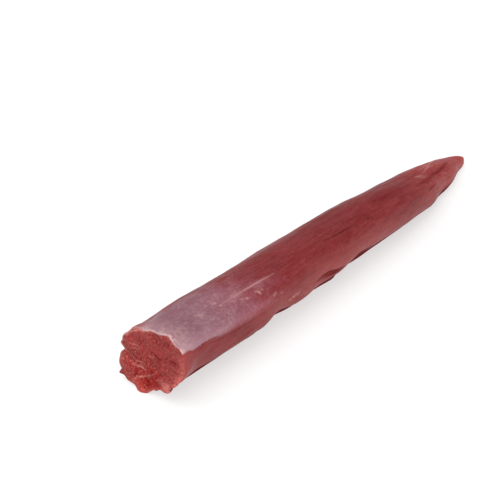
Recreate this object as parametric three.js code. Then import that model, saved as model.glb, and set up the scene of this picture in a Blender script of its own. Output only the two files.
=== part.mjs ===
// A raw lamb tenderloin: one long trimmed muscle, cut across at the thick end and tapering to a thin tail.
// It lies on a table along X with the cut at low X, the tail at high X and +Z up, in millimetres.
// The skin is worked out one cross-section at a time, in polar form round the muscle's middle line.
// Angles are in degrees as seen from the cut: 0 towards -Y, 90 up, 180 towards +Y and -90 down.
import * as THREE from 'three';

// The body at a few places along it: [from the cut, half width, height, sideways place of the middle].
const STATIONS = [
  [0, 16.6, 29.6, 2.6],
  [12, 15.8, 29.8, 2.8],
  [35, 15.4, 30.0, 2.8],
  [75, 15.2, 29.4, 2.8],
  [115, 14.4, 28.2, 3.1],
  [150, 13.3, 25.8, 3.7],
  [180, 11.7, 21.8, 5.0],
  [202, 9.1, 17.0, 7.9],
  [218, 6.8, 12.4, 10.1],
  [230, 4.2, 8.2, 12.2],
  [236, 2.7, 6, 12.4],
  [239.5, 1.3, 4.2, 12.4],
];
const LENGTH = STATIONS.at(-1)[0];
const TAIL_POINT = 0.6; // how far the tail's last point stands out of its last ring
const SQUARENESS = 2.15; // exponent of the section's superellipse: 2 is an ellipse, more is boxier
const SAG = 2.2; // how far the soft underside would reach below the table
const SAG_ROUNDING = 0.6; // height over which the underside turns into its flat

// Where the form changes along the length.
const NEAR_CUT = [50, 130]; // the strong forms of the thick end fade out over this stretch
const BODY = [150, 215]; // the forms of the body fade out over this one, into the plain tail
const SEAM = [110, 190]; // the seam of the side muscle fades out over this one

// Swellings and hollows that run along the body. Sizes are shares of the section's radius.
const RUNNING_FORMS = [
  { angle: 40, spread: 18, near: 0.1, far: 0.05, fade: BODY }, // ridge where the silverskin ends
  { angle: 92, spread: 20, near: -0.03, far: 0, fade: BODY }, // flatter top
  { angle: 8, spread: 18, near: -0.04, far: 0, fade: BODY }, // flatter side under the ridge
  { angle: -42, spread: 28, near: -0.3, far: -0.26, fade: BODY }, // the near side tucks in to the table
  { angle: -138, spread: 20, near: 0.08, far: 0.08, fade: BODY }, // fullness of the far underside
  { angle: 176, spread: 8, near: -0.12, far: -0.1, fade: SEAM }, // seam of the thin side muscle
  { angle: 152, spread: 18, near: 0.04, far: 0.04, fade: SEAM }, // that muscle
];

// Single lumps and hollows: [from the cut, angle, length, spread in angle, size].
const LUMPS = [
  [10, -34, 8, 36, -0.15],
  [22, -30, 9, 44, -0.045],
  [56, -42, 8, 26, 0.075],
  [65, -36, 6, 34, -0.19],
  [71, -72, 6, 14, -0.06],
  [84, -42, 7, 26, 0.05],
  [92, -24, 9, 44, -0.1],
  [109, -54, 4, 13, 0.07], // the end of a flap of meat near the table
  [105, -26, 9, 12, -0.05], // the crease above it
  [119, -40, 8, 32, -0.22],
  [134, -24, 18, 42, -0.09],
  [176, -20, 10, 34, -0.05],
  [202, -20, 8, 38, -0.11],
];

// The torn, scalloped rim of the cut: [angle, spread, size], and how far the scallops run into the body.
const SCALLOP_LENGTH = 9;
const SCALLOPS = [
  [15, 9, 0.06],
  [-12, 9, -0.07],
  [72, 9, 0.075],
  [108, 9, -0.03],
  [131, 8, 0.05],
  [158, 6, 0.055],
  [170, 4.6, 0.12],
  [-177, 5, 0.05],
  [-161, 10, 0.07],
  [-151.5, 2.2, -0.03],
  [-145.8, 3, 0.13],
  [-122, 8, -0.09],
  [-83, 13, -0.25],
  [-66, 8, -0.17],
  [-44, 7, 0.09],
  [-27, 6, -0.02],
];

// Slow waves all over: [length of a wave over two pi, turns round the body, offset, size].
const WAVES = [
  [14, 2, 1.3, 0.01],
  [8.3, 3, 4, 0.008],
];

// The cut face. Its pits and ridges: [angle, share of the way out, spread in angle, spread outwards, depth].
const CUT_LEAN = 10; // degrees that the cut leans back from upright
const CUT_TURN = 6; // degrees that it is turned off square
const CUT_REACH = 60; // the lean fades out over this length of the body
const RIM_ROUNDING = 0.7; // how far the cut's rim is rounded back
const RIM_SHARE = 0.955; // where that rounding starts
const DOME = 1.4; // how far the middle of the cut stands out of its rim
const CALM_MIDDLE = 0.25; // the pits and ridges die away within this share of the way out
const FACE_RELIEF = [
  [-75, 0.62, 26, 0.2, 0.9],
  [-140, 0.6, 24, 0.18, 0.6],
  [178, 0.8, 14, 0.3, 1.1],
  [30, 0.45, 40, 0.16, 0.6],
  [-105, 0.9, 16, 0.14, -1.1],
];

// The mesh: rings along the body, points round it, and rings on the cut face.
const BODY_RINGS = 60;
const POINTS_ROUND = 64;
const FACE_RINGS = 6;
const CROWDING = 0.5; // share by which the rings stand closer at both ends

const radians = THREE.MathUtils.degToRad;
const fadeOut = ([from, to], x) => 1 - THREE.MathUtils.smoothstep(x, from, to);
const bell = (x, middle, width) => Math.exp(-(((x - middle) / width) ** 2));
const sum = (list, term) => list.reduce((total, item) => total + term(item), 0);
// A bell over an angle, the short way round.
const bellRound = (angle, middle, width) => {
  const apart = THREE.MathUtils.euclideanModulo(angle - middle + 180, 360) - 180;
  return bell(apart, 0, width);
};

// A smooth line through one column of the stations.
function along(column, x) {
  const last = STATIONS.length - 1;
  const i = THREE.MathUtils.clamp(STATIONS.findLastIndex((station) => station[0] <= x), 0, last - 1);
  const slope = (k) => {
    const before = STATIONS[Math.max(k - 1, 0)];
    const after = STATIONS[Math.min(k + 1, last)];
    return (after[column] - before[column]) / (after[0] - before[0]);
  };
  const here = STATIONS[i];
  const next = STATIONS[i + 1];
  const step = next[0] - here[0];
  const t = (x - here[0]) / step;
  return (
    here[column] * (1 + 2 * t) * (1 - t) ** 2 +
    slope(i) * step * t * (1 - t) ** 2 +
    next[column] * t * t * (3 - 2 * t) +
    slope(i + 1) * step * t * t * (t - 1)
  );
}

// The skin's distance from the middle line, as a share of an ellipse's.
function radiusShare(x, angle) {
  const cosine = Math.abs(Math.cos(radians(angle)));
  const sine = Math.abs(Math.sin(radians(angle)));
  const plain = (cosine ** SQUARENESS + sine ** SQUARENESS) ** (-1 / SQUARENESS);
  const nearCut = fadeOut(NEAR_CUT, x);
  const running = sum(RUNNING_FORMS, (form) => {
    const size = form.far + (form.near - form.far) * nearCut;
    return size * fadeOut(form.fade, x) * bellRound(angle, form.angle, form.spread);
  });
  const lumps = sum(LUMPS, ([place, middle, length, spread, size]) => {
    return size * bell(x, place, length) * bellRound(angle, middle, spread);
  });
  const rim = sum(SCALLOPS, ([middle, spread, size]) => size * bellRound(angle, middle, spread));
  const scallops = fadeOut([0, SCALLOP_LENGTH], x) * rim;
  const waves = sum(WAVES, ([length, turns, offset, size]) => {
    return size * Math.sin(x / length + radians(turns * angle) + offset);
  });
  return plain + running + lumps + scallops + waves;
}

// What would lie under the table is pressed flat on it.
function pressed(z) {
  if (z <= -SAG_ROUNDING) return 0;
  if (z >= SAG_ROUNDING) return z;
  return (z + SAG_ROUNDING) ** 2 / (4 * SAG_ROUNDING);
}

// A point of the section at x, as far out as the given radius, and on the skin where none is given.
function sectionPoint(x, angle, radius = radiusShare(x, angle)) {
  const halfWidth = along(1, x);
  const halfHeight = (along(2, x) + SAG) / 2;
  const y = along(3, x) - halfWidth * radius * Math.cos(radians(angle));
  const z = halfHeight - SAG + halfHeight * radius * Math.sin(radians(angle));
  const lean = Math.tan(radians(CUT_LEAN)) * z - Math.tan(radians(CUT_TURN)) * y;
  return new THREE.Vector3(x + fadeOut([0, CUT_REACH], x) * lean, y, pressed(z));
}

// A point of the cut face, which is domed and has hollows where the bundles of fibres tore apart.
// Its rings are round in the middle and take on the scalloped outline further out.
function facePoint(angle, share) {
  const outline = THREE.MathUtils.lerp(1, radiusShare(0, angle), share ** 2);
  const point = sectionPoint(0, angle, share * outline);
  const relief = sum(FACE_RELIEF, ([middle, out, spread, width, depth]) => {
    return depth * bellRound(angle, middle, spread) * bell(share, out, width);
  });
  point.x += Math.min(1, share / CALM_MIDDLE) * relief - DOME * (1 - share ** 2);
  return point;
}

// The distance of each ring from the cut, closer together at both ends.
function ringPlace(ring) {
  const u = ring / (BODY_RINGS - 1);
  return LENGTH * (u - (CROWDING * Math.sin(2 * Math.PI * u)) / (2 * Math.PI));
}

// Each ring as a function of the angle: the cut face from its middle out, the body, the tail's last point.
function ringList() {
  const rings = [];
  for (let ring = 0; ring < FACE_RINGS; ring++) {
    rings.push((angle) => facePoint(angle, (RIM_SHARE * ring) / (FACE_RINGS - 1)));
  }
  rings.push((angle) => sectionPoint(0, angle).add(new THREE.Vector3(RIM_ROUNDING, 0, 0)));
  for (let ring = 1; ring < BODY_RINGS; ring++) {
    rings.push((angle) => sectionPoint(ringPlace(ring), angle));
  }
  rings.push((angle) => sectionPoint(LENGTH, angle, 0).add(new THREE.Vector3(TAIL_POINT, 0, 0)));
  return rings;
}

// A lathe blank gives the closed mesh, with both ends on its axis. Its points then move onto the muscle.
function tenderloinGeometry() {
  const rings = ringList();
  const profile = rings.map((_, i) => new THREE.Vector2(i === 0 || i === rings.length - 1 ? 0 : 1, i));
  const geometry = new THREE.LatheGeometry(profile, POINTS_ROUND);
  const position = geometry.getAttribute('position');
  for (let i = 0; i < position.count; i++) {
    const turn = Math.floor(i / rings.length) % POINTS_ROUND;
    const point = rings[i % rings.length]((-360 * turn) / POINTS_ROUND);
    position.setXYZ(i, point.x, point.y, point.z);
  }
  geometry.computeBoundingBox();
  const middle = geometry.boundingBox.getCenter(new THREE.Vector3());
  geometry.translate(-middle.x, -middle.y, -geometry.boundingBox.min.z);
  geometry.computeVertexNormals();
  return geometry;
}

const meat = new THREE.MeshStandardMaterial({ color: 0x8f3f42, roughness: 0.45, metalness: 0 });
const tenderloin = new THREE.Mesh(tenderloinGeometry(), meat);
tenderloin.name = 'tenderloin';

const part = new THREE.Group();
part.add(tenderloin);
export default part;
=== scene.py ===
"""A raw lamb tenderloin on a pale table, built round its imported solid.

The form is worked out in millimetres and turned into metres when the mesh is made. s is the distance from
the cut along the muscle. Angles are in degrees round it, as seen from the cut: 0 towards -Y, 90 up, 180
towards +Y and -90 down. Colours are as a screen shows them, 0 to 255.
"""
import math

import bpy
import numpy as np
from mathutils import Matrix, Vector


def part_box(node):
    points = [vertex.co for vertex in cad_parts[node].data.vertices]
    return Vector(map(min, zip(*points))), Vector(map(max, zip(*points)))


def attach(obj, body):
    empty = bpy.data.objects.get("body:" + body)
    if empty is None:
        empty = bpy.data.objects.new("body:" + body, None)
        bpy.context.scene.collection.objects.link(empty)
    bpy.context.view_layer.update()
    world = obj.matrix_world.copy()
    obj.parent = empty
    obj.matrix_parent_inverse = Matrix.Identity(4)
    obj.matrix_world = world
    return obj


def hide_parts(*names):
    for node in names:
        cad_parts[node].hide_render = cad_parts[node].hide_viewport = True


NODE = "tenderloin"
MM = 0.001

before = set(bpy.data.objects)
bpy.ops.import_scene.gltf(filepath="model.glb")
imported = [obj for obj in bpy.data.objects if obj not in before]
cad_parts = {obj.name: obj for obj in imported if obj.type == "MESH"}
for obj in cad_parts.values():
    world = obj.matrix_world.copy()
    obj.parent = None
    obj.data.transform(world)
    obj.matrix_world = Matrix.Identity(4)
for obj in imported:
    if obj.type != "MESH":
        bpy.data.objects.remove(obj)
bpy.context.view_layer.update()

# The camera: its place and the point that it looks at, in metres.
CAMERA_AT = (-0.3362, -0.25376, 0.30285)
CAMERA_LOOKS_AT = (-0.01716, 0.03858, -0.00014)
LENS_MM = 79.2
SENSOR_MM = 36.0

# Square lamps that face the meat: name, place and size in metres, watts.
LAMPS = [
    ("overhead", (-0.15, 0.25, 1.1), 1.4, 9),
    ("front", (-0.8, -0.6, 0.55), 1.0, 7),
]
ROOM_LIGHT = 0.55
TABLE_REACH = 3.0  # metres from its middle to each side
TABLE_GREY = 0.45
TABLE_ROUGHNESS = 0.9
TABLE_GLOW = 0.55

# The body: distance from the cut, half width, height, sideways place of the middle.
STATIONS = np.array([
    [0, 16.6, 29.6, 2.6],
    [12, 15.8, 29.8, 2.8],
    [35, 15.4, 30.0, 2.8],
    [75, 15.2, 29.4, 2.8],
    [115, 14.4, 28.2, 3.1],
    [150, 13.3, 25.8, 3.7],
    [180, 11.7, 21.8, 5.0],
    [202, 9.1, 17.0, 7.9],
    [218, 6.8, 12.4, 10.1],
    [230, 4.2, 8.2, 12.2],
    [236, 2.7, 6.0, 12.4],
    [239.5, 1.3, 4.2, 12.4],
])
LENGTH = STATIONS[-1, 0]
TAIL_POINT = 0.6  # how far the tail's last point stands out of its last ring
SQUARENESS = 2.15  # exponent of the section's superellipse: 2 is an ellipse, more is boxier
SAG = 2.2  # how far the soft underside would reach below the table
SAG_ROUNDING = 0.6  # height over which the underside turns into its flat
NEAR_CUT = (50, 130)  # the strong forms of the thick end fade out over this stretch
BODY = (150, 215)  # the forms of the body fade out over this one
SEAM = (110, 190)  # the seam of the side muscle fades out over this one
CUT_LEAN = 10  # degrees that the cut leans back from upright
CUT_TURN = 6  # degrees that it is turned off square
CUT_REACH = 60  # the lean fades out over this length of the body
DOME = 1.4  # how far the middle of the cut stands out of its rim
CALM_MIDDLE = 0.25  # the hollows of the cut die away within this share of the way out

# Forms that run along the body: angle, spread, size near the cut, size further on, stretch of fading out.
RUNNING_FORMS = [
    (40, 18, 0.1, 0.05, BODY),
    (92, 20, -0.03, 0, BODY),
    (8, 18, -0.04, 0, BODY),
    (-42, 28, -0.3, -0.26, BODY),
    (-138, 20, 0.08, 0.08, BODY),
    (176, 8, -0.12, -0.1, SEAM),
    (152, 18, 0.04, 0.04, SEAM),
]
# Single lumps and hollows: distance from the cut, angle, length, spread in angle, size.
LUMPS = [
    (10, -34, 8, 36, -0.15),
    (22, -30, 9, 44, -0.045),
    (56, -42, 8, 26, 0.075),
    (65, -36, 6, 34, -0.19),
    (71, -72, 6, 14, -0.06),
    (84, -42, 7, 26, 0.05),
    (92, -24, 9, 44, -0.1),
    (109, -54, 4, 13, 0.07),
    (105, -26, 9, 12, -0.05),
    (119, -40, 8, 32, -0.22),
    (134, -24, 18, 42, -0.09),
    (176, -20, 10, 34, -0.05),
    (202, -20, 8, 38, -0.11),
]
# The torn rim of the cut: angle, spread, size, all fading out over one length.
SCALLOP_LENGTH = 9
SCALLOPS = [
    (15, 9, 0.06),
    (-12, 9, -0.07),
    (72, 9, 0.075),
    (108, 9, -0.03),
    (131, 8, 0.05),
    (158, 6, 0.055),
    (170, 4.6, 0.12),
    (-177, 5, 0.05),
    (-161, 10, 0.07),
    (-151.5, 2.2, -0.03),
    (-145.8, 3, 0.13),
    (-122, 8, -0.09),
    (-83, 13, -0.25),
    (-66, 8, -0.17),
    (-44, 7, 0.09),
    (-27, 6, -0.02),
]
# Slow waves all over: length over two pi, turns round the body, offset, size.
WAVES = [(14, 2, 1.3, 0.01), (8.3, 3, 4, 0.008)]
# Broad hollows and swellings of the cut face: angle, share of the way out, spreads of both, depth.
FACE_RELIEF = [
    (-75, 0.62, 26, 0.2, 0.9),
    (-140, 0.6, 24, 0.18, 0.6),
    (178, 0.8, 14, 0.3, 1.1),
    (30, 0.45, 40, 0.16, 0.6),
    (-105, 0.9, 16, 0.14, -1.1),
]

# The fine mesh: rings along the body, points round it, rings on the cut, and the share by which the body's
# rings stand closer at both ends.
BODY_RINGS = 270
POINTS_ROUND = 288
FACE_RINGS = 50
CROWDING = 0.5

# A random field is a sum of this many waves, their pitches spread by these shares.
RIPPLE_COUNT = 48
RIPPLE_PITCHES = (0.7, 1.4)
# Random relief: height in millimetres, lengths of the waves along and across the muscle, seed.
SWELLS = [(0.09, (34, 12, 12), 31), (0.05, (10, 6, 6), 35)]
STRANDS = [(0.025, (40, 3.0, 3.0), 32), (0.012, (18, 1.4, 1.4), 33)]
RAGGED_END = [(0.2, (9, 6, 6), 41), (0.07, (9, 2.5, 2.5), 42)]
TORN_GRAIN = [(0.1, (9, 3.0, 1.6), 43)]
# Furrows run where one field is near 0, in the places where another is high.
FURROW_LINES = [(1, (80, 5, 5), 21)]
FURROW_PLACES = [(1, (40, 9, 9), 34)]
FURROW_WIDTH = 0.12
FURROW_STRONG = (0.6, 1.4)
FURROW_DEPTH = 0.1
# The skin's relief comes in behind the cut and dies away on the tail. Low on the sides it is calmer.
RELIEF_STARTS = (0, 8)
RELIEF_ENDS = (222, 239)
RELIEF_RISES = (-0.3, 0.5)  # as the sine of the angle
# What is left of the swells low on the sides and at both ends, and of the strands at both ends.
LOW_SWELLS = 0.35
END_SWELLS = 0.1
END_STRANDS = 0.3
SILVER_CALMS = 0.8  # how much of the strands is missing under the silverskin
RAGGED_REACH = (0, 5)  # the ragged wander of the cut fades out over this stretch of the skin
CREASE_DEPTH = 0.45
STREAK_HEIGHT = 0.08
RIM_DROP = 0.25  # how far the skin rounds in at the cut, and over what length
RIM_LENGTH = 0.9
FACE_RIM = (0.94, 1)  # the cut's relief dies away between these shares of the way out
RIM_GRAIN = 0.2  # what is left of its torn grain at the rim
GAP_DEPTH = 0.14
DARK_DEPTH = 1.0
PALE_HEIGHT = 0.15
KNIFE_CALMS = 0.9  # how much of the torn relief is missing where the knife left the cut smooth
# A drawn mark is strongest in its middle. It grows weaker out to these shares of its length, and this share
# of its strength stays everywhere.
STROKE_SPAN = (0.02, 0.98)
STROKE_ENDS = 0.35

# The silverskin: its lower edge as distance from the cut and angle, its upper edge, and where it thins out.
SILVER_EDGE = [
    (0, 40), (3, 39.5), (5.3, 36.8), (9, 35.9), (13, 35.6), (16.2, 34), (19, 33), (22.7, 30),
    (27, 28.6), (33, 27.8), (38, 26.2), (44, 25), (52, 27), (70, 27),
]
SILVER_TOP = 124
SILVER_TOP_BLUR = 10
SILVER_FADE = (38, 80)
SILVER_SLANT_FROM = 55  # above this angle its end comes nearer to the cut
SILVER_END_SLANT = 0.3  # by this many millimetres for each degree
SILVER_LIP = (-1, 1)  # it gets its full thickness over these millimetres inside its edge
SILVER_REACH = 6  # millimetres from the edge that are told apart
# Its borders wander with one random field: by millimetres below, degrees above and millimetres at its end.
SILVER_WANDER = [(1, (14, 7, 7), 11)]
LOW_WANDER = 0.12
TOP_WANDER = 3
END_WANDER = 4
# Shreds of it further on: distance from the cut, angle, length, spread in angle, strength.
SILVER_SHREDS = [
    (56, 46, 7, 11, 0.55),
    (62, 36, 8, 8, 0.3),
]

# The milky haze of the bare muscle, partly thin tissue and partly a painted sheen, the reflection of the
# pale table low on its sides: its strength by the angle above the table, and by the distance from the cut.
TISSUE_AND_SHEEN_AROUND = [(-90, 0.5), (-12, 0.7), (0, 0.95), (8, 1), (16, 0.8), (30, 0.45), (46, 0.15), (62, 0)]
TISSUE_AND_SHEEN_ALONG = [
    (0, 0.3), (13, 0.22), (33, 0.13), (42, 0.2), (52, 0.42), (72, 0.66), (90, 1), (120, 0.95),
    (142, 0.6), (168, 0.22), (190, 0.12), (215, 0.68), (238, 0.3),
]
# Painted shade on the skin under the body's sides starts and is full at these angles.
UNDERSIDE_SHADE = (-5, -22)

# Marks drawn on the skin: a path of distances from the cut and angles, half its width, strength.
PALE_STREAKS = [
    ([(0.4, 122), (0.4, 140), (0.4, 158)], 0.45, 0.75),
    ([(7.1, 78), (6.5, 66), (4.8, 53)], 0.45, 0.4),
    ([(9.6, 79), (9.7, 65), (8.3, 51)], 0.45, 0.22),
    ([(3.5, 80), (3.4, 68), (2.4, 55)], 0.5, 0.45),
    ([(2, 73), (5.5, 70), (9.5, 74)], 0.4, 0.35),
    ([(2, 60), (6, 61), (10, 57)], 0.4, 0.3),
    ([(34, 65.5), (43, 65), (51, 64)], 1.2, 0.2),
    ([(33, 65.5), (42, 65), (53, 64), (60, 63), (66, 61.5)], 0.42, 0.6),
    ([(31.9, 65.5), (32.6, 64.5)], 0.5, 0.9),
    ([(30.8, 75.5), (31.8, 74)], 0.5, 0.6),
    ([(37, 62), (40, 59.5)], 0.5, 0.35),
    ([(42, 57), (45, 53.5)], 0.5, 0.35),
    ([(45.2, 53), (47, 51)], 0.45, 0.7),
    ([(51.8, 54), (53, 50.5), (53, 46.5)], 0.45, 0.75),
    ([(54.5, 53), (55.5, 49)], 0.4, 0.5),
    ([(58.6, 33.5), (61, 37.5)], 0.4, 0.55),
    ([(63, 30), (64, 33)], 0.4, 0.35),
    ([(69, 7), (70.5, 12)], 0.5, 0.55),
    ([(71, 8.5), (73, 15)], 0.55, 0.7),
    ([(73.5, 9), (75.5, 14)], 0.5, 0.5),
    ([(76, 3), (78, 7)], 0.35, 0.4),
    ([(78.5, 1), (80.5, 3.5)], 0.35, 0.4),
    ([(18, 75), (21, 71), (22, 66)], 0.8, 0.4),
    ([(192, 89), (197, 92), (203, 101), (208, 109), (212, 113)], 0.42, 0.7),
    ([(188.5, 93), (196, 99), (204, 107)], 0.3, 0.55),
    ([(180, 82), (183, 79), (187, 70)], 0.5, 0.55),
    ([(181, 75), (184, 70), (187, 64)], 0.4, 0.4),
    ([(200, 86), (205, 89), (208, 84), (209, 77)], 0.4, 0.45),
    ([(189, 81), (194, 86), (199, 89), (203, 88)], 0.38, 0.65),
    ([(210, 100), (216, 103), (221, 99)], 0.4, 0.4),
    ([(24, 168), (40, 165), (61, 166)], 0.4, 0.3),
    ([(102, 158), (120, 160), (141, 162)], 0.4, 0.25),
    ([(64, 141), (74, 139)], 0.35, 0.3),
    ([(77, 138), (83, 139)], 0.35, 0.25),
    ([(36, -142), (54, -145), (70, -144)], 0.5, 0.25),
]
# Painted shade in the creases and clefts of the skin, rows as above. The skin also sinks there.
CREASE_SHADE = [
    ([(85, 6), (89, 8.5), (93, 10), (97, 9.5), (102, 3), (108, -2), (112, -6)], 0.6, 1.0),
    ([(115, 1), (120, 0), (127, -3)], 0.8, 0.8),
    ([(103, 60), (110, 58.5), (116, 58), (123, 55)], 0.5, 0.75),
    ([(130, 55), (132.5, 53)], 0.8, 0.7),
    ([(180, 35), (184, 36), (189, 37)], 0.35, 0.8),
    ([(110, -16), (116, -32), (124, -44)], 3.0, 0.9),
    ([(151, 60), (151.3, 52), (151.3, 46)], 0.45, 0.5),
    ([(16, 29.5), (23, 26), (31, 23), (44, 20)], 0.6, 0.5),
    ([(24, 24), (38, 21), (54, 19)], 0.5, 0.35),
    ([(40, 175), (80, 178), (120, 176), (160, 174)], 0.9, 0.8),
    ([(70, 150), (100, 147), (125, 149)], 0.5, 0.4),
    ([(150, 130), (170, 126), (186, 128)], 0.6, 0.4),
]
# Bands of deeper red, rows as above, and patches: distance from the cut, angle, length, spread in angle,
# strength. Some of them are painted shade, under the flap and along the lower edge.
DEEP_RED_AND_SHADE_BANDS = [
    ([(176, 57), (184, 58), (192, 60), (200, 60), (207, 61), (214, 70), (219, 76)], 1.9, 0.85),
    ([(89, 5.5), (94, 4.5), (99, 1), (104, -3), (108, -6)], 1.5, 1.0),
    ([(91, -1), (96, -4), (101, -8), (106, -12), (110, -16)], 1.8, 0.7),
    ([(117, -5), (124, -6), (133, -7)], 1.6, 1.0),
]
DEEP_RED_AND_SHADE_PATCHES = [
    (104, 52, 16, 14, 0.36),
    (128, 62, 16, 12, 0.33),
    (150, 74, 16, 12, 0.5),
    (84, 66, 10, 16, 0.3),
    (70, 48, 12, 12, 0.2),
    (16, 6, 8, 14, 0.14),
    (40, 0, 7, 12, 0.3),
    (76, 3, 5, 8, 0.3),
    (174, 10, 6, 8, 0.17),
    (112, 120, 22, 20, 0.5),
    (165, 140, 18, 26, 0.5),
    (60, -160, 25, 18, 0.4),
]
# Patches of painted sheen and highlight on the tail and sides, partly thin tissue, rows as above.
TISSUE_AND_SHEEN_PATCHES = [
    (211, 6, 7, 16, 0.7),
    (218, 27, 8, 14, 1.0),
    (201, 38, 3.5, 12, 0.6),
    (192, 60, 6, 6, 0.5),
    (70, 8, 10, 16, 0.3),
    (111, 30, 12, 10, 0.65),
    (215, 170, 14, 26, 0.5),
]

# Marks drawn on the cut: a path of angles and shares of the way out, half its width, strength.
FACE_PALE = [
    ([(-164, 0.68), (-157, 0.36), (-112, 0.14)], 0.65, 0.5),
    ([(-131, 0.88), (-121, 0.52), (-69, 0.22)], 0.5, 0.65),
    ([(157, 0.84), (144, 0.67), (129, 0.54)], 0.32, 0.4),
    ([(160, 0.76), (148, 0.58), (136, 0.48)], 0.28, 0.25),
    ([(-175, 0.7), (-178, 0.4), (170, 0.2)], 0.3, 0.45),
    ([(152, 1.0), (135, 1.0), (122, 0.97), (112, 0.93), (100, 0.92)], 0.32, 0.9),
    ([(109, 0.3), (92, 0.3), (76, 0.34)], 0.35, 0.45),
    ([(-42, 0.45), (-42, 0.66), (-46, 0.88)], 1.3, 0.5),
]
# Painted shade in the clefts of the cut, which also sink the cut there.
FACE_CLEFT_SHADE = [
    ([(100, 0.42), (79, 0.39), (54, 0.38), (45, 0.42)], 0.5, 0.9),
    ([(40, 0.66), (26, 0.84)], 0.5, 0.7),
    ([(-110, 0.14), (-62, 0.2)], 1.1, 0.6),
    ([(-115, 0.12), (-108, 0.36), (-135, 0.45)], 1.5, 0.25),
    ([(-137, 0.72), (-132, 0.62)], 0.9, 0.6),
    ([(-116, 0.46), (-102, 0.5), (-94, 0.62)], 1.2, 0.95),
    ([(-118, 0.12), (-86, 0.24), (-72, 0.44), (-74, 0.6)], 1.1, 0.55),
    ([(-150, 0.62), (-141, 0.5)], 0.7, 0.6),
    ([(-55, 0.24), (-46, 0.32)], 0.8, 0.5),
    ([(66, 0.89), (60, 0.86)], 0.6, 0.6),
    ([(172, 0.82), (168, 0.7), (160, 0.62)], 0.7, 0.5),
]
# Areas of the cut: angle, share of the way out, spreads of both, strength. The knife left some smooth, and
# some are redder or paler.
FACE_SMOOTH = [
    (140, 0.84, 30, 0.26, 1.0),
    (100, 0.55, 40, 0.34, 0.9),
    (58, 0.6, 48, 0.4, 1.0),
    (10, 0.6, 34, 0.3, 0.8),
]
FACE_RED = [
    (-100, 0.55, 44, 0.34, 1.0),
    (-150, 0.5, 24, 0.3, 0.6),
    (-100, 0.2, 60, 0.18, 1.0),
    (145, 0.82, 12, 0.16, 0.3),
]
FACE_LIGHT = [
    (-48, 0.9, 22, 0.3, 0.9),
    (-6, 0.97, 36, 0.17, 1.0),
    (-95, 0.9, 40, 0.18, 0.85),
    (-155, 0.95, 36, 0.2, 0.35),
    (112, 0.86, 14, 0.16, 0.2),
]
# The thin pale line of the membrane round the cut: angle, spread, strength.
FACE_EDGE = [(148, 26, 0.95), (100, 24, 0.3), (62, 20, 0.2), (-48, 12, 0.4), (-170, 14, 0.3)]

# For marks the skin is laid out flat, as if the body had one radius all along.
SKIN_RADIUS = 15
SKIN_ARC = math.radians(1) * SKIN_RADIUS  # millimetres for each degree
# The cut is laid out flat as an ellipse: half its width and half its height.
FACE_RADII = (16.6, 15.9)
# Bundles of fibres on the cut: the distance from one to the next, how much longer than wide they are, their
# slant in degrees, their unevenness and the width of the gaps as shares of that distance, and how far the
# field of them reaches from the middle.
BUNDLE_PITCH = 2.1
BUNDLE_STRETCH = 1.8
BUNDLE_SLANT = 20
BUNDLE_JITTER = 0.6
BUNDLE_GAP = 0.55
BUNDLE_FIELD = 24
BUNDLE_SEED = 5
CHUNK = 2000  # points looked at together

# What the materials read at each point of the skin and of the cut. All go from 0 to 1, apart from inside,
# which counts millimetres inside the silverskin's lower edge.
# Among them are a painted sheen that is partly thin tissue, deeper red that is partly painted shade, and
# painted shade in the creases and under the sides.
SKIN_MASKS = ("silver", "inside", "pale", "dark", "deep_red_and_shade", "tissue_and_sheen", "under", "out")
CUT_MASKS = ("pale", "dark", "torn", "gap", "out", "light", "red", "edge")

# Noise marks of the materials: lengths along and across the muscle in millimetres, seed, detail, roughness,
# warp, and the values of the noise at which a mark starts and is full.
SKIN_MARKS = {
    "broad": ((26, 9, 9), 1, 2.0, 0.55, 0.6, 0.35, 0.65),
    "blotches": ((9, 4, 4), 2, 3.0, 0.6, 0.5, 0.4, 0.62),
    "streaks": ((22, 2.2, 2.2), 3, 3.0, 0.6, 0.2, 0.46, 0.62),
    "fibres": ((9, 1.2, 1.2), 4, 2.0, 0.6, 0.0, 0.42, 0.62),
    "grains": ((1.4, 1.2, 1.2), 12, 1.0, 0.5, 0.0, 0.44, 0.66),
    "shreds": ((4.5, 1.2, 1.2), 14, 3.0, 0.65, 0.9, 0.48, 0.7),
    "mottle": ((9, 4.5, 4.5), 5, 4.0, 0.6, 0.35, 0.36, 0.66),
    "wisps": ((2.6, 1.5, 1.5), 6, 3.0, 0.65, 0.6, 0.54, 0.72),
    "scratches": ((13, 1.1, 1.1), 11, 1.0, 0.5, 0.3, 0.6, 0.72),
    "scraps": ((1.0, 2.6, 2.6), 7, 3.0, 0.65, 0.8, 0.4, 0.6),
}
# The cut's flecks and specks are partly pale tissue and partly painted glints of its wet surface.
CUT_MARKS = {
    "broad": ((9, 6, 5), 1, 2.0, 0.55, 0.5, 0.38, 0.62),
    "grain": ((9, 2.4, 0.9), 2, 3.0, 0.6, 0.4, 0.42, 0.58),
    "flecks_and_glints": ((9, 1.2, 0.75), 3, 2.0, 0.6, 0.5, 0.54, 0.64),
    "dots": ((9, 1.1, 0.8), 4, 2.0, 0.6, 0.5, 0.54, 0.64),
    "sand": ((9, 0.9, 0.9), 7, 1.0, 0.5, 0.0, 0.4, 0.62),
    "specks_and_glints": ((9, 0.8, 0.6), 8, 1.0, 0.5, 0.0, 0.6, 0.72),
}
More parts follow.
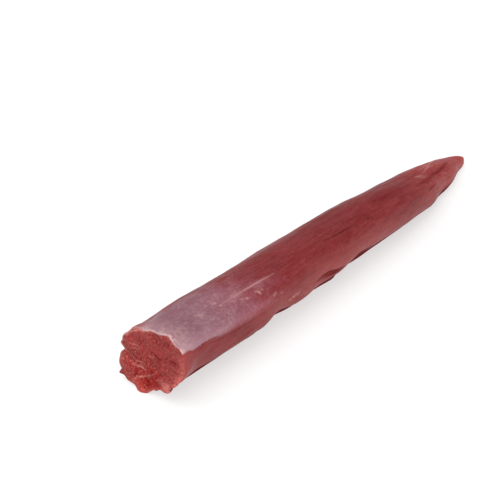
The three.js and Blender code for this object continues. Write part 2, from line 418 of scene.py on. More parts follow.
# Plain noises, rows as above without the last two values. Those of bumps have their depth in millimetres.
STROKE_NOISE = ((3, 0.8, 0.8), 8, 3.0, 0.55, 0.0)
STROKE_STRENGTH = (0.6, 1.1)  # of a pale stroke, where its noise is 0 and 1
STRAND_NOISE = ((22, 1.6, 1.6), 9, 3.0, 0.6, 0.0)
STRAND_DEPTH = 0.13
SILVER_STRANDS = 0.3  # what is left of that depth under the silverskin
DIMPLE_NOISE = ((3.6, 2.2, 2.2), 10, 3.0, 0.6, 0.6)
DIMPLE_DEPTH = 0.16
TORN_NOISE = ((9, 2.4, 1.2), 5, 4.0, 0.65, 0.6)
TORN_DEPTH = 0.4
POINT_NOISE = ((9, 1.1, 0.9), 6, 2.0, 0.6, 0.0)
POINT_DEPTH = 0.14

# Where looks come in along the body, as shares of its length: the far silverskin, its edge's softening, the
# tail, its tip, the paler skin by the cut, and the silverskin's pale rim, which scraps make uneven.
FAR = (0.06, 0.22)
EDGE_SOFTENS = (0.05, 0.15)
TAIL = (0.68, 0.84)
TIP = (0.92, 0.98)
BY_THE_CUT = (0.045, 0.0)
PALE_RIM = (0.003, -0.008)
RIM_SCRAPS = -0.01
# Where the pale line round the cut comes in, as shares of the way out.
CUT_LINE = (0.955, 0.985)
# The silverskin's lower edge, in millimetres inside it: its lighter band, and the edge itself where it is
# crisp and where it is soft. Wisps make it ragged.
LIGHT_BAND = (5.6, 0.5)
CRISP_EDGE = (-0.1, 0.6)
SOFT_EDGE = (-2.2, 2.2)
EDGE_WISPS = 0.5
# Between these amounts left of it the silverskin goes from hidden to full, unevenly by its mottling.
SILVER_SHOWS = (0.15, 1.2)
SILVER_UNEVEN = 0.25

# Colours as a screen shows them.
MUSCLE = {
    "dark": (110, 26, 30),
    "light": (123, 34, 38),
    "blotches": (112, 23, 27),
    "tail": (152, 32, 31),
    # The next two are partly thin tissue and partly a painted sheen, the reflection of the pale table:
    "tissue_and_sheen": (151, 63, 61),
    "tail tissue and sheen": (160, 52, 50),
    "streaks": (156, 68, 66),
    "fibres": (170, 86, 82),
    "tip": (178, 60, 50),
    "by the cut": (161, 74, 72),
    "grains": (176, 92, 88),
    "shreds": (182, 110, 106),
    # Deeper red, partly painted shade:
    "deep_red_and_shade": (98, 16, 20),
    # Painted shade under the sides:
    "under": (98, 36, 36),
    # Painted shade in the creases:
    "crease shade": (76, 14, 16),
    "strokes": (196, 152, 146),
}
SILVER = {
    "dark": (127, 85, 96),
    "light": (133, 92, 102),
    "far": (138, 66, 78),
    "band": (176, 134, 144),
    "far band": (174, 96, 107),
    "wisps": (182, 144, 148),
    "scratches": (186, 150, 152),
    "grains": (190, 156, 160),
    "by the cut": (190, 152, 155),
    "rim": (212, 176, 172),
}
CUT = {
    "dark": (114, 19, 22),
    "light": (132, 31, 31),
    "smooth": (128, 108, 110),
    "paler": (216, 120, 110),
    "blood": (140, 7, 6),
    "bright blood": (172, 21, 15),
    "grain": (104, 14, 17),
    "sand": (192, 92, 84),
    "gaps": (108, 18, 18),
    # Partly pale tissue and partly painted glints:
    "flecks_and_glints": (212, 122, 110),
    "dots": (92, 4, 6),
    # Partly pale tissue and partly painted glints:
    "specks_and_glints": (228, 148, 134),
    "strokes": (214, 148, 136),
    "line": (220, 164, 154),
    # Painted shade in the clefts:
    "hollows": (96, 4, 6),
}
# Roughness outside and in the muscle's fibres, the silverskin's mottling and the grain of the cut.
MUSCLE_ROUGHNESS = (0.42, 0.54)
SILVER_ROUGHNESS = (0.34, 0.44)
CUT_ROUGHNESS = (0.36, 0.5)
# Specular level of the body's skin, the tail's, shaded skin, and the cut outside and in its deep red
# and its shaded clefts.
BODY_SHINE = 0.2
TAIL_SHINE = 0.1
SHADED_SHINE = 0.0
CUT_SHINE = (0.13, 0.05)
# Light that sinks a little way into the meat: its share, how far each colour goes, and the depth in metres.
SUBSURFACE_SHARE = 0.12
SUBSURFACE_RADIUS = (1.0, 0.3, 0.25)
SUBSURFACE_DEPTH = 0.002
# A Mix node's two inputs and its output, by number, as those of other types share their names.
MIX_COLOURS = (6, 7, 2)
MIX_NUMBERS = (2, 3, 0)


def smooth(low, high, x):
    """0 below low, 1 above high, and a smooth step between them."""
    t = np.clip((x - low) / (high - low), 0, 1)
    return t * t * (3 - 2 * t)


def fade_out(stretch, x):
    """1 before the stretch, 0 after it."""
    return 1 - smooth(*stretch, x)


def lifted(low, x):
    """A value between 0 and 1, squeezed so that it starts from low."""
    return low + (1 - low) * x


def bell(x, middle, width):
    return np.exp(-(((x - middle) / width) ** 2))


def bell_round(angle, middle, width):
    """A bell over an angle, the short way round."""
    return bell((angle - middle + 180) % 360 - 180, 0, width)


def ripples(points, lengths, seed):
    """A smooth random field of about unit height, with waves of about the given lengths along each axis."""
    draw = np.random.default_rng(seed)
    direction = draw.normal(size=(RIPPLE_COUNT, 3))
    direction /= np.linalg.norm(direction, axis=1)[:, None]
    pitch = 2 * np.pi * direction / np.array(lengths) * draw.uniform(*RIPPLE_PITCHES, (RIPPLE_COUNT, 1))
    offset = draw.uniform(0, 2 * np.pi, RIPPLE_COUNT)
    total = np.zeros(points.shape[:-1])
    for k in range(RIPPLE_COUNT):
        total += np.sin(points @ pitch[k] + offset[k])
    return total * math.sqrt(2 / RIPPLE_COUNT)


def relief(points, fields):
    """Several random fields added up, each with its own height."""
    return sum(height * ripples(points, lengths, seed) for height, lengths, seed in fields)


def along(column, s):
    """A smooth line through one column of the stations."""
    place, value = STATIONS[:, 0], STATIONS[:, column]
    slope = np.empty(len(place))
    slope[1:-1] = (value[2:] - value[:-2]) / (place[2:] - place[:-2])
    slope[0] = (value[1] - value[0]) / (place[1] - place[0])
    slope[-1] = (value[-1] - value[-2]) / (place[-1] - place[-2])
    i = np.clip(np.searchsorted(place, s, side="right") - 1, 0, len(place) - 2)
    step = place[i + 1] - place[i]
    t = (s - place[i]) / step
    return (
        value[i] * (1 + 2 * t) * (1 - t) ** 2
        + slope[i] * step * t * (1 - t) ** 2
        + value[i + 1] * t * t * (3 - 2 * t)
        + slope[i + 1] * step * t * t * (t - 1)
    )


def radius_share(s, angle):
    """The skin's distance from the middle line, as a share of an ellipse's."""
    turn = np.radians(angle)
    near_cut = fade_out(NEAR_CUT, s)
    scalloped = fade_out((0, SCALLOP_LENGTH), s)
    share = (np.abs(np.cos(turn)) ** SQUARENESS + np.abs(np.sin(turn)) ** SQUARENESS) ** (-1 / SQUARENESS)
    for middle, spread, near, far, stretch in RUNNING_FORMS:
        size = far + (near - far) * near_cut
        share = share + size * fade_out(stretch, s) * bell_round(angle, middle, spread)
    for place, middle, length, spread, size in LUMPS:
        share = share + size * bell(s, place, length) * bell_round(angle, middle, spread)
    for middle, spread, size in SCALLOPS:
        share = share + scalloped * size * bell_round(angle, middle, spread)
    for length, turns, offset, size in WAVES:
        share = share + size * np.sin(s / length + turns * turn + offset)
    return share


def pressed(z):
    """What would lie under the table is pressed flat on it."""
    curve = (z + SAG_ROUNDING) ** 2 / (4 * SAG_ROUNDING)
    return np.where(z <= -SAG_ROUNDING, 0, np.where(z >= SAG_ROUNDING, z, curve))


def section_point(s, angle, share, out=0.0):
    """The point at s and angle whose radius is that share of the ellipse's, plus out in millimetres."""
    turn = np.radians(angle)
    half_width = along(1, s)
    half_height = (along(2, s) + SAG) / 2
    y = along(3, s) - (half_width * share + out) * np.cos(turn)
    z = half_height - SAG + (half_height * share + out) * np.sin(turn)
    lean = math.tan(math.radians(CUT_LEAN)) * z - math.tan(math.radians(CUT_TURN)) * y
    return np.stack([s + fade_out((0, CUT_REACH), s) * lean, y, pressed(z)], axis=-1)


def distance_to_path(points, path):
    """How far each point of a plane is from a path of straight stretches, and how far along it lies."""
    best = np.full(points.shape[:-1], np.inf)
    along_path = np.zeros(points.shape[:-1])
    for k, (start, end) in enumerate(zip(path[:-1], path[1:])):
        step = end - start
        t = np.clip((points - start) @ step / (step @ step), 0, 1)
        distance = np.linalg.norm(points - start - t[..., None] * step, axis=-1)
        nearer = distance < best
        best = np.where(nearer, distance, best)
        along_path = np.where(nearer, (k + t) / (len(path) - 1), along_path)
    return best, along_path


def strokes(points, marks, place):
    """How strongly the marks cover each point. place turns a mark's path into points of the same plane."""
    total = np.zeros(points.shape[:-1])
    for path, width, strength in marks:
        distance, t = distance_to_path(points, place(np.array(path, float)))
        taper = lifted(STROKE_ENDS, np.sin(np.pi * np.clip(t, *STROKE_SPAN)))
        total = np.maximum(total, strength * taper * bell(distance, 0, width * taper ** 0.5))
    return total


def patches(s, angle, marks):
    """How strongly round patches of the skin cover each point."""
    total = np.zeros(s.shape)
    for place, middle, length, spread, strength in marks:
        total = np.maximum(total, strength * bell(s, place, length) * bell_round(angle, middle, spread))
    return total


def face_areas(angle, part, areas):
    """The same for areas of the cut."""
    total = np.zeros_like(part)
    for middle, out, spread, width, strength in areas:
        total = np.maximum(total, strength * bell_round(angle, middle, spread) * bell(part, out, width))
    return total


def on_skin(path):
    """Distances from the cut and angles, laid out flat in millimetres."""
    return np.stack([path[..., 0], path[..., 1] * SKIN_ARC], axis=-1)


def on_face(path):
    """Angles and shares of the way out, laid out flat in millimetres."""
    turn = np.radians(path[..., 0])
    across = -FACE_RADII[0] * path[..., 1] * np.cos(turn)
    up = FACE_RADII[1] * path[..., 1] * np.sin(turn)
    return np.stack([across, up], axis=-1)


def slanted(points):
    """The face's points turned so that the first axis runs along its slanting bundles of fibres."""
    slant = math.radians(BUNDLE_SLANT)
    return points @ np.array([[math.cos(slant), -math.sin(slant)], [math.sin(slant), math.cos(slant)]])


def bundles(points):
    """1 within the bundles of fibres of the slanted face, falling to 0 in the gaps between them."""
    draw = np.random.default_rng(BUNDLE_SEED)
    reach = np.arange(-BUNDLE_FIELD, BUNDLE_FIELD, BUNDLE_PITCH)
    middles = np.stack(np.meshgrid(reach, reach), axis=-1).reshape(-1, 2)
    middles = middles + draw.uniform(-BUNDLE_JITTER, BUNDLE_JITTER, middles.shape) * BUNDLE_PITCH
    flat = (points / np.array([BUNDLE_STRETCH, 1.0])).reshape(-1, 2)
    near = np.empty((len(flat), 2))
    for k in range(0, len(flat), CHUNK):
        gap = np.linalg.norm(flat[k:k + CHUNK, None] - middles[None], axis=-1)
        near[k:k + CHUNK] = np.partition(gap, 1, axis=1)[:, :2]
    return smooth(0, BUNDLE_GAP * BUNDLE_PITCH, near[:, 1] - near[:, 0]).reshape(points.shape[:-1])


def silverskin(s, angle, flow):
    """How far inside the silverskin's lower edge each point is, and how much of it is left there."""
    edge = np.interp(s, *np.array(SILVER_EDGE).T)
    wander = relief(flow, SILVER_WANDER)
    inside = (np.where(angle < -90, -180, angle) - edge) * SKIN_ARC + LOW_WANDER * wander
    blur = (-SILVER_TOP_BLUR, SILVER_TOP_BLUR)
    upper = fade_out(blur, angle - SILVER_TOP - TOP_WANDER * wander)
    slant = SILVER_END_SLANT * np.maximum(0, angle - SILVER_SLANT_FROM)
    end = fade_out(SILVER_FADE, s + END_WANDER * wander + slant)
    left = np.maximum(upper * end, patches(s, angle, SILVER_SHREDS))
    return np.clip(inside, -SILVER_REACH, SILVER_REACH), left


def skin_relief(s, angle, values):
    """How far the skin stands out beyond its plain form, in millimetres."""
    flow = values["flow"]
    silver = values["silver"] * smooth(*SILVER_LIP, values["inside"])
    bare = 1 - SILVER_CALMS * silver
    inner = smooth(*RELIEF_STARTS, s) * fade_out(RELIEF_ENDS, s)
    upper = lifted(LOW_SWELLS, smooth(*RELIEF_RISES, np.sin(np.radians(angle))))
    furrow = bell(relief(flow, FURROW_LINES), 0, FURROW_WIDTH)
    furrow = furrow * smooth(*FURROW_STRONG, relief(flow, FURROW_PLACES))
    swells = relief(flow, SWELLS) * upper * lifted(END_SWELLS, inner)
    strands = bare * (relief(flow, STRANDS) - FURROW_DEPTH * furrow) * lifted(END_STRANDS, inner)
    drawn = -CREASE_DEPTH * values["dark"] + STREAK_HEIGHT * values["pale"]
    return swells + strands + drawn - RIM_DROP * np.clip(1 - s / RIM_LENGTH, 0, 1) ** 2


def ragged(flow):
    """How far the torn end juts out or falls back, in millimetres along the muscle."""
    level = np.concatenate([np.zeros_like(flow[..., :1]), flow[..., 1:]], axis=-1)
    return relief(level, RAGGED_END)


def face_depth(angle, part, values):
    """How deep each point of the cut lies behind its plane, in millimetres, before its ragged wander."""
    broad = np.zeros_like(angle)
    for middle, out, spread, width, size in FACE_RELIEF:
        broad = broad + size * bell_round(angle, middle, spread) * bell(part, out, width)
    broad = np.minimum(1, part / CALM_MIDDLE) * broad - DOME * (1 - part ** 2)
    inner = fade_out(FACE_RIM, part)
    grain = relief(values["flow"], TORN_GRAIN) + GAP_DEPTH * values["gap"]
    marks = (DARK_DEPTH * values["dark"] - PALE_HEIGHT * values["pale"]) * inner
    return broad + values["torn"] * grain * lifted(RIM_GRAIN, inner) + marks


def ring_places():
    """The distance of each ring from the cut, closer together at both ends."""
    u = np.linspace(0, 1, BODY_RINGS)
    return LENGTH * (u - CROWDING * np.sin(2 * np.pi * u) / (2 * np.pi))


def cut_face(angle, part):
    """The cut face's points from its centre out, and what its material reads at each."""
    share = part * (1 + (radius_share(0.0, angle) - 1) * part ** 2)
    flat = on_face(np.stack([angle, share], axis=-1))
    level = np.zeros_like(flat[..., :1])
    line = sum(strength * bell_round(angle, middle, spread) for middle, spread, strength in FACE_EDGE)
    values = {
        "pale": strokes(flat, FACE_PALE, on_face),
        # Painted shade in the clefts.
        "dark": strokes(flat, FACE_CLEFT_SHADE, on_face),
        "torn": 1 - KNIFE_CALMS * face_areas(angle, part, FACE_SMOOTH),
        "gap": 1 - bundles(slanted(flat)),
        "out": part,
        "light": face_areas(angle, part, FACE_LIGHT),
        "red": face_areas(angle, part, FACE_RED),
        "edge": np.clip(line, 0, 1),
        "flow": np.concatenate([level, slanted(flat)], axis=-1),
    }
    points = section_point(np.zeros_like(angle), angle, share)
    points[..., 0] += face_depth(angle, part, values)
    points[..., 0] += ragged(np.concatenate([level, flat], axis=-1))
    return points, values


def above_table(angle):
    """The angle above the table, 90 at the top and -90 underneath, on either side."""
    return 90 - np.abs(90 - np.where(angle < -90, angle + 360, angle))


def skin(s, angle):
    """The skin's points ring by ring, what its material reads there, and the points without relief."""
    share = radius_share(s, angle)
    turn = np.radians(angle)
    flow = np.stack([s, -along(1, s) * np.cos(turn), along(2, s) / 2 * np.sin(turn)], axis=-1)
    inside, left = silverskin(s, angle, flow)
    flat = on_skin(np.stack([s, angle], axis=-1))
    height = above_table(angle)
    # Partly thin tissue and partly a painted sheen, the pale table's reflection, strongest low on the
    # sides.
    tissue_and_sheen = np.interp(height, *np.array(TISSUE_AND_SHEEN_AROUND).T) * np.interp(s, *np.array(TISSUE_AND_SHEEN_ALONG).T)
    values = {
        "silver": left,
        "inside": inside,
        "pale": strokes(flat, PALE_STREAKS, on_skin),
        # Painted shade in the creases and clefts, which also sink the skin.
        "dark": strokes(flat, CREASE_SHADE, on_skin),
        # Deeper red, partly painted shade under the flap and along the lower edge.
        "deep_red_and_shade": np.maximum(strokes(flat, DEEP_RED_AND_SHADE_BANDS, on_skin), patches(s, angle, DEEP_RED_AND_SHADE_PATCHES)),
        "tissue_and_sheen": np.maximum(tissue_and_sheen, patches(s, angle, TISSUE_AND_SHEEN_PATCHES)),
        # Painted shade under the body's sides.
        "under": smooth(*UNDERSIDE_SHADE, height),
        "out": np.clip(s / LENGTH, 0, 1),
        "flow": flow,
    }
    points = section_point(s, angle, share, skin_relief(s, angle, values))
    points[..., 0] += ragged(flow) * fade_out(RAGGED_REACH, s)
    return points, values, section_point(s, angle, share)


def closed_faces(rings):
    """The faces of a closed surface: a centre point, rings of points and an end point."""
    n = POINTS_ROUND
    ring, step = np.meshgrid(np.arange(rings - 1), np.arange(n), indexing="ij")
    a = 1 + ring * n + step
    b = 1 + ring * n + (step + 1) % n
    quads = np.stack([a, b, b + n, a + n], axis=-1).reshape(-1, 4)
    around = np.arange(n)
    onward = (around + 1) % n
    first = np.stack([np.zeros(n, int), 1 + onward, 1 + around], axis=-1)
    end = 1 + (rings - 1) * n
    last = np.stack([np.full(n, end + n), end + around, end + onward], axis=-1)
    return first.tolist() + quads.tolist() + last.tolist()


def shift_into_box(points):
    """How far the form moves along X and Y, so that its box gets the middle of the solid's."""
    low, high = (np.array(corner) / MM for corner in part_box(NODE))
    shift = (low + high) / 2 - (points.min(axis=0) + points.max(axis=0)) / 2
    return shift[:2]


def store(mesh, name, parts):
    """Gives each point of the mesh one number, from the parts in the mesh's order."""
    values = np.concatenate(parts).astype(np.float32)
    mesh.attributes.new(name, "FLOAT", "POINT").data.foreach_set("value", values)


def store_masks(mesh, centre, face, rim, body):
    """What the materials read. The masks of the skin are 0 on the cut, and the other way round."""
    off_skin = np.zeros(1 + face["out"].size)
    off_cut = np.zeros(body["out"].size - POINTS_ROUND + 1)
    for name in SKIN_MASKS:
        store(mesh, name, [off_skin, body[name].ravel(), body[name][-1:].mean(axis=1)])
    for name in CUT_MASKS:
        store(mesh, "cut " + name, [centre[name], face[name].ravel(), rim[name], off_cut])
    flow = [values["flow"].reshape(-1, 3) for values in (centre, face, body)]
    flow.append(np.array([[LENGTH, 0, 0]]))
    attribute = mesh.attributes.new("flow", "FLOAT_VECTOR", "POINT")
    attribute.data.foreach_set("vector", np.concatenate(flow).ravel())


def closed_mesh(name, points, rings, cut_rings):
    """A smooth closed mesh whose faces on the cut have the second material."""
    mesh = bpy.data.meshes.new(name)
    mesh.from_pydata((points * MM).tolist(), [], closed_faces(rings))
    mesh.update()
    mesh.polygons.foreach_set("use_smooth", [True] * len(mesh.polygons))
    slots = np.zeros(len(mesh.polygons), int)
    slots[:POINTS_ROUND * cut_rings] = 1
    mesh.polygons.foreach_set("material_index", slots.tolist())
    return mesh


def link(name, data):
    """A new object in the scene."""
    made = bpy.data.objects.new(name, data)
    bpy.context.scene.collection.objects.link(made)
    return made


def make_meat():
    """The whole muscle as one piece, placed in the solid's box, with what its materials read."""
    around = (180 - 360 * np.arange(POINTS_ROUND) / POINTS_ROUND) % 360 - 180
    part = np.linspace(0, 1, FACE_RINGS + 1)[1:-1]
    face_part, face_angle = np.meshgrid(part, around, indexing="ij")
    s, skin_angle = np.meshgrid(ring_places(), around, indexing="ij")
    centre_point, centre = cut_face(np.zeros(1), np.zeros(1))
    face_points, face = cut_face(face_angle, face_part)
    rim = cut_face(around, np.ones(POINTS_ROUND))[1]
    skin_points, body, plain = skin(s, skin_angle)
    tail = section_point(np.array([LENGTH]), np.zeros(1), 0) + np.array([TAIL_POINT, 0, 0])
    points = np.concatenate([centre_point, face_points.reshape(-1, 3), skin_points.reshape(-1, 3), tail])
    points[:, :2] += shift_into_box(np.concatenate([plain.reshape(-1, 3), tail]))
    mesh = closed_mesh("meat", points, len(part) + BODY_RINGS, len(part) + 1)
    store_masks(mesh, centre, face, rim, body)
    return link("meat", mesh)


def linear(shade):
    """A screen colour in the linear light that shaders work with, by the sRGB formula."""
    return tuple(((c / 255 + 0.055) / 1.055) ** 2.4 if c > 10 else c / 255 / 12.92 for c in shade) + (1.0,)


class Paint:
    """A material whose colour is built up layer by layer."""

    def __init__(self, name):
        self.material = bpy.data.materials.new(name)
        self.material.use_nodes = True
        self.tree = self.material.node_tree
        self.shader = self.tree.nodes["Principled BSDF"]

    def node(self, kind, **settings):
        node = self.tree.nodes.new(kind)
        for name, value in settings.items():
            setattr(node, name, value)
        return node

    def feed(self, socket, value):
        """Links a node's output to a socket, or sets the socket to a number or a screen colour."""
        if isinstance(value, bpy.types.NodeSocket):
            self.tree.links.new(value, socket)
        elif isinstance(value, tuple):
            socket.default_value = linear(value)
        else:
            socket.default_value = value

    def mask(self, name):
        """A number that each point of the mesh carries."""
        return self.node("ShaderNodeAttribute", attribute_name=name).outputs["Fac"]

    def place(self, lengths):
        """The place along and across the muscle, each way counted in its own length."""
        flow = self.node("ShaderNodeAttribute", attribute_name="flow").outputs["Vector"]
        scaled = self.node("ShaderNodeVectorMath", operation="DIVIDE")
        self.feed(scaled.inputs[0], flow)
        scaled.inputs[1].default_value = lengths
        return scaled.outputs["Vector"]

    def noise(self, lengths, seed, detail, roughness, warp):
        """Noise that flows along the muscle with it. The seed tells one from another."""
        node = self.node("ShaderNodeTexNoise", noise_dimensions="4D")
        self.feed(node.inputs["Vector"], self.place(lengths))
        node.inputs["W"].default_value = seed
        node.inputs["Scale"].default_value = 1.0
        node.inputs["Detail"].default_value = detail
        node.inputs["Roughness"].default_value = roughness
        node.inputs["Distortion"].default_value = warp
        return node.outputs["Fac"]

    def marks(self, rows):
        """The noise marks of a material, by name."""
        return {name: self.step(self.noise(*row[:-2]), *row[-2:]) for name, row in rows.items()}

    def step(self, value, low, high):
        """0 at low, 1 at high, and a smooth step between them. low may be the greater."""
        node = self.node("ShaderNodeMapRange", interpolation_type="SMOOTHSTEP")
        self.feed(node.inputs["Value"], value)
        node.inputs["From Min"].default_value = low
        node.inputs["From Max"].default_value = high
        return node.outputs["Result"]

    def along_body(self, stretch):
        """0 at the stretch's first share of the body's length, and 1 at its second."""
        return self.step(self.mask("out"), *stretch)

    def maths(self, operation, *values):
        node = self.node("ShaderNodeMath", operation=operation)
        for socket, value in zip(node.inputs, values):
            self.feed(socket, value)
        return node.outputs["Value"]

    def times(self, a, b):
        return self.maths("MULTIPLY", a, b)

    def greater(self, a, b):
        return self.maths("MAXIMUM", a, b)

    def between(self, kind, sockets, share, a, b):
        """A value of some kind between a and b."""
        node = self.node("ShaderNodeMix", data_type=kind)
        first, second, result = sockets
        self.feed(node.inputs["Factor"], share)
        self.feed(node.inputs[first], a)
        self.feed(node.inputs[second], b)
        return node.outputs[result]

    def blend(self, share, a, b):
        """A number between two others."""
        return self.between("FLOAT", MIX_NUMBERS, share, a, b)

    def mix(self, share, a, b):
        """Colour b over colour a."""
        return self.between("RGBA", MIX_COLOURS, share, a, b)

    def layers(self, base, rows):
        """Colours laid over the base one by one, each as strongly as its share says."""
        for share, shade in rows:
            base = self.mix(share, base, shade)
        return base

    def bump(self, height, depth_mm, onto=None):
        """Fine relief, on top of another where one is given."""
        node = self.node("ShaderNodeBump")
        node.inputs["Strength"].default_value = 1.0
        node.inputs["Distance"].default_value = depth_mm * MM
        self.feed(node.inputs["Height"], height)
        if onto is not None:
            self.feed(node.inputs["Normal"], onto)
        return node.outputs["Normal"]

    def moist(self, base, roughness, normal, specular):
        """Joins the layers to the shader of moist meat."""
        self.feed(self.shader.inputs["Base Color"], base)
        self.feed(self.shader.inputs["Roughness"], roughness)
        self.feed(self.shader.inputs["Normal"], normal)
        self.feed(self.shader.inputs["Specular IOR Level"], specular)
        self.shader.inputs["Subsurface Weight"].default_value = SUBSURFACE_SHARE
        self.shader.inputs["Subsurface Radius"].default_value = SUBSURFACE_RADIUS
        self.shader.inputs["Subsurface Scale"].default_value = SUBSURFACE_DEPTH
        return self.material


def muscle_colour(paint, marks, tail):
    """Bare red muscle, shredded at the tail, in layers of share and colour. A painted sheen, partly thin
    tissue, lies low on its sides, and painted shade darkens its creases, its underside and some of its
    deeper red.
    """
    tissue_and_sheen = paint.mask("tissue_and_sheen")
    rough = paint.greater(tail, paint.times(tissue_and_sheen, 0.25))
    tissue_and_sheen_share = paint.times(tissue_and_sheen, paint.blend(marks["blotches"], 0.95, 0.7))
    base = paint.mix(marks["broad"], MUSCLE["dark"], MUSCLE["light"])
    return paint.layers(base, [
        (paint.times(marks["blotches"], 0.42), MUSCLE["blotches"]),
        (paint.times(tail, 0.55), MUSCLE["tail"]),
        # Painted sheen low on the sides, partly thin tissue.
        (tissue_and_sheen_share, paint.mix(tail, MUSCLE["tissue_and_sheen"], MUSCLE["tail tissue and sheen"])),
        (paint.times(marks["streaks"], paint.blend(rough, 0.12, 0.3)), MUSCLE["streaks"]),
        (paint.times(marks["fibres"], paint.blend(rough, 0.13, 0.32)), MUSCLE["fibres"]),
        (paint.times(paint.along_body(TIP), 0.5), MUSCLE["tip"]),
        (paint.times(paint.along_body(BY_THE_CUT), 0.55), MUSCLE["by the cut"]),
        (paint.times(marks["grains"], paint.blend(tail, 0.1, 0.24)), MUSCLE["grains"]),
        (paint.times(marks["shreds"], paint.times(tail, 0.34)), MUSCLE["shreds"]),
        # Deeper red, partly painted shade.
        (paint.times(paint.mask("deep_red_and_shade"), 0.85), MUSCLE["deep_red_and_shade"]),
        # Painted shade under the sides.
        (paint.times(paint.mask("under"), 0.8), MUSCLE["under"]),
        # Painted shade in the creases.
        (paint.times(paint.mask("dark"), 0.75), MUSCLE["crease shade"]),
    ])


def silver_colour(paint, marks):
    """Grey-pink silverskin, redder further on, lighter along its lower edge and at the rim of the cut."""
    far = paint.along_body(FAR)
    band = paint.step(paint.mask("inside"), *LIGHT_BAND)
    light = paint.times(band, paint.blend(far, 0.54, 0.34))
    scraps = paint.maths("MULTIPLY_ADD", marks["scraps"], RIM_SCRAPS, paint.mask("out"))
    near = paint.times(paint.along_body(BY_THE_CUT), paint.blend(marks["wisps"], 0.35, 1.0))
    base = paint.mix(marks["mottle"], SILVER["dark"], SILVER["light"])
    return paint.layers(base, [
        (paint.times(far, 0.7), SILVER["far"]),
        (light, paint.mix(far, SILVER["band"], SILVER["far band"])),
        (paint.times(marks["wisps"], 0.25), SILVER["wisps"]),
        (paint.times(marks["scratches"], 0.14), SILVER["scratches"]),
        (paint.times(marks["grains"], paint.blend(marks["mottle"], 0.08, 0.2)), SILVER["grains"]),
        (near, SILVER["by the cut"]),
        (paint.times(paint.step(scraps, *PALE_RIM), 0.62), SILVER["rim"]),
    ])


def silver_cover(paint, marks):
    """How much of the muscle the silverskin hides. Its edge is crisp near the cut and soft further on."""
    edge = paint.maths("MULTIPLY_ADD", marks["wisps"], EDGE_WISPS, paint.mask("inside"))
    crisp = paint.step(edge, *CRISP_EDGE)
    soft = paint.step(edge, *SOFT_EDGE)
    uneven = paint.maths("MULTIPLY_ADD", marks["mottle"], SILVER_UNEVEN, paint.mask("silver"))
    shows = paint.step(uneven, *SILVER_SHOWS)
    return paint.times(paint.blend(paint.along_body(EDGE_SOFTENS), crisp, soft), shows)


def skin_bump(paint, cover):
    """Strands along the muscle, calmer under the silverskin, and shallow dimples all over."""
    strands = paint.times(paint.noise(*STRAND_NOISE), paint.blend(cover, 1.0, SILVER_STRANDS))
    normal = paint.bump(strands, STRAND_DEPTH)
    return paint.bump(paint.noise(*DIMPLE_NOISE), DIMPLE_DEPTH, normal)


def skin_material():
    """Bare red muscle, silverskin over the top of the thick end, and pale strokes over both."""
    paint = Paint("skin")
    marks = paint.marks(SKIN_MARKS)
    tail = paint.along_body(TAIL)
    cover = silver_cover(paint, marks)
    base = paint.mix(cover, muscle_colour(paint, marks, tail), silver_colour(paint, marks))
    stroke = paint.times(paint.mask("pale"), paint.blend(paint.noise(*STROKE_NOISE), *STROKE_STRENGTH))
    base = paint.mix(stroke, base, MUSCLE["strokes"])
    muscle_roughness = paint.blend(marks["fibres"], *MUSCLE_ROUGHNESS)
    silver_roughness = paint.blend(marks["mottle"], *SILVER_ROUGHNESS)
    roughness = paint.blend(cover, muscle_roughness, silver_roughness)
    shaded = paint.greater(paint.greater(paint.mask("dark"), paint.mask("under")), paint.mask("deep_red_and_shade"))
    shine = paint.blend(shaded, paint.blend(tail, BODY_SHINE, TAIL_SHINE), SHADED_SHINE)
    return paint.moist(base, roughness, skin_bump(paint, cover), shine)


def cut_colour(paint, marks, torn):
    """Deep red, with pale flecks and specks that are partly painted glints, dark gaps, painted shade in its
    clefts and a paler rim, in layers of share and colour.
    """
    coarse = paint.blend(torn, 0.12, 1.0)
    blood = paint.mix(marks["broad"], CUT["blood"], CUT["bright blood"])
    line = paint.times(paint.step(paint.mask("cut out"), *CUT_LINE), paint.mask("cut edge"))
    base = paint.mix(marks["broad"], CUT["dark"], CUT["light"])
    return paint.layers(base, [
        (paint.blend(torn, 0.09, 0.0), CUT["smooth"]),
        (paint.times(paint.mask("cut light"), paint.blend(marks["broad"], 0.65, 0.9)), CUT["paler"]),
        (paint.times(paint.mask("cut red"), 0.8), blood),
        (paint.times(marks["grain"], paint.times(coarse, 0.32)), CUT["grain"]),
        (paint.times(marks["sand"], 0.18), CUT["sand"]),
        (paint.times(paint.mask("cut gap"), paint.times(torn, 0.25)), CUT["gaps"]),
        # Pale flecks and specks, partly painted glints of the wet surface.
        (paint.times(marks["flecks_and_glints"], paint.times(coarse, 0.42)), CUT["flecks_and_glints"]),
        (paint.times(marks["dots"], paint.times(coarse, 0.45)), CUT["dots"]),
        (paint.times(marks["specks_and_glints"], paint.times(coarse, 0.6)), CUT["specks_and_glints"]),
        (paint.times(paint.mask("cut pale"), paint.blend(marks["grain"], 0.95, 0.35)), CUT["strokes"]),
        (paint.times(line, 0.8), CUT["line"]),
        # Painted shade in the clefts.
        (paint.times(paint.mask("cut dark"), 0.85), CUT["hollows"]),
    ])


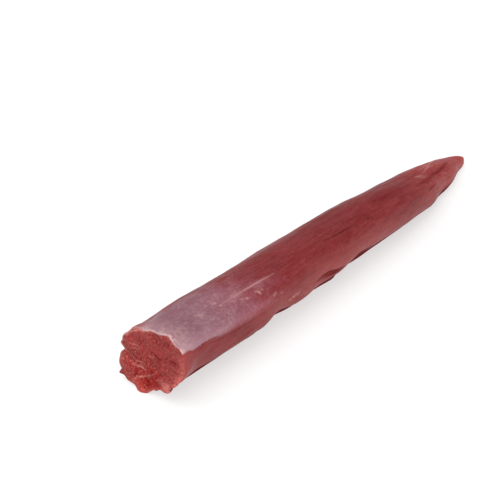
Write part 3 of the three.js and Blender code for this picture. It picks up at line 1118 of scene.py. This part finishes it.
def cut_material():
    """The cut end of the muscle, torn into fine bundles of fibres."""
    paint = Paint("cut")
    marks = paint.marks(CUT_MARKS)
    torn = paint.mask("cut torn")
    normal = paint.bump(paint.times(paint.noise(*TORN_NOISE), torn), TORN_DEPTH)
    normal = paint.bump(paint.noise(*POINT_NOISE), POINT_DEPTH, normal)
    roughness = paint.blend(marks["grain"], *CUT_ROUGHNESS)
    # The red parts and the painted shade in the clefts shine less.
    red_and_cleft_shade = paint.greater(paint.mask("cut red"), paint.mask("cut dark"))
    shine = paint.blend(red_and_cleft_shade, *CUT_SHINE)
    return paint.moist(cut_colour(paint, marks, torn), roughness, normal, shine)


def make_table():
    """A plain pale surface to lie on."""
    mesh = bpy.data.meshes.new("table")
    corners = [(x * TABLE_REACH, y * TABLE_REACH, 0) for x, y in ((-1, -1), (1, -1), (1, 1), (-1, 1))]
    mesh.from_pydata(corners, [], [(0, 1, 2, 3)])
    paint = Paint("table")
    paint.shader.inputs["Base Color"].default_value = (TABLE_GREY, TABLE_GREY, TABLE_GREY, 1)
    paint.shader.inputs["Roughness"].default_value = TABLE_ROUGHNESS
    paint.shader.inputs["Emission Color"].default_value = (1, 1, 1, 1)
    paint.shader.inputs["Emission Strength"].default_value = TABLE_GLOW
    mesh.materials.append(paint.material)
    return link("table", mesh)


def turn_towards(thing, target):
    """Turns a lamp or a camera so that it faces the target."""
    thing.rotation_euler = (Vector(target) - thing.location).to_track_quat("-Z", "Y").to_euler()


def add_light():
    """A pale room and two large soft lamps."""
    world = bpy.data.worlds.new("studio")
    world.use_nodes = True
    background = world.node_tree.nodes["Background"]
    background.inputs["Color"].default_value = (1, 1, 1, 1)
    background.inputs["Strength"].default_value = ROOM_LIGHT
    bpy.context.scene.world = world
    bpy.context.scene.view_settings.view_transform = "Standard"
    for name, place, size, watts in LAMPS:
        lamp = bpy.data.lights.new(name, "AREA")
        lamp.energy = watts
        lamp.size = size
        softbox = link(name, lamp)
        softbox.location = place
        turn_towards(softbox, (0, 0, 0))


def add_camera():
    """The camera at the photograph's viewing angle."""
    data = bpy.data.cameras.new("camera")
    data.lens = LENS_MM
    data.sensor_width = SENSOR_MM
    camera = link("camera", data)
    camera.location = CAMERA_AT
    turn_towards(camera, CAMERA_LOOKS_AT)
    bpy.context.scene.camera = camera


meat = make_meat()
meat.data.materials.append(skin_material())
meat.data.materials.append(cut_material())
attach(meat, "root")
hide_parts(NODE)
make_table()
add_light()
add_camera()
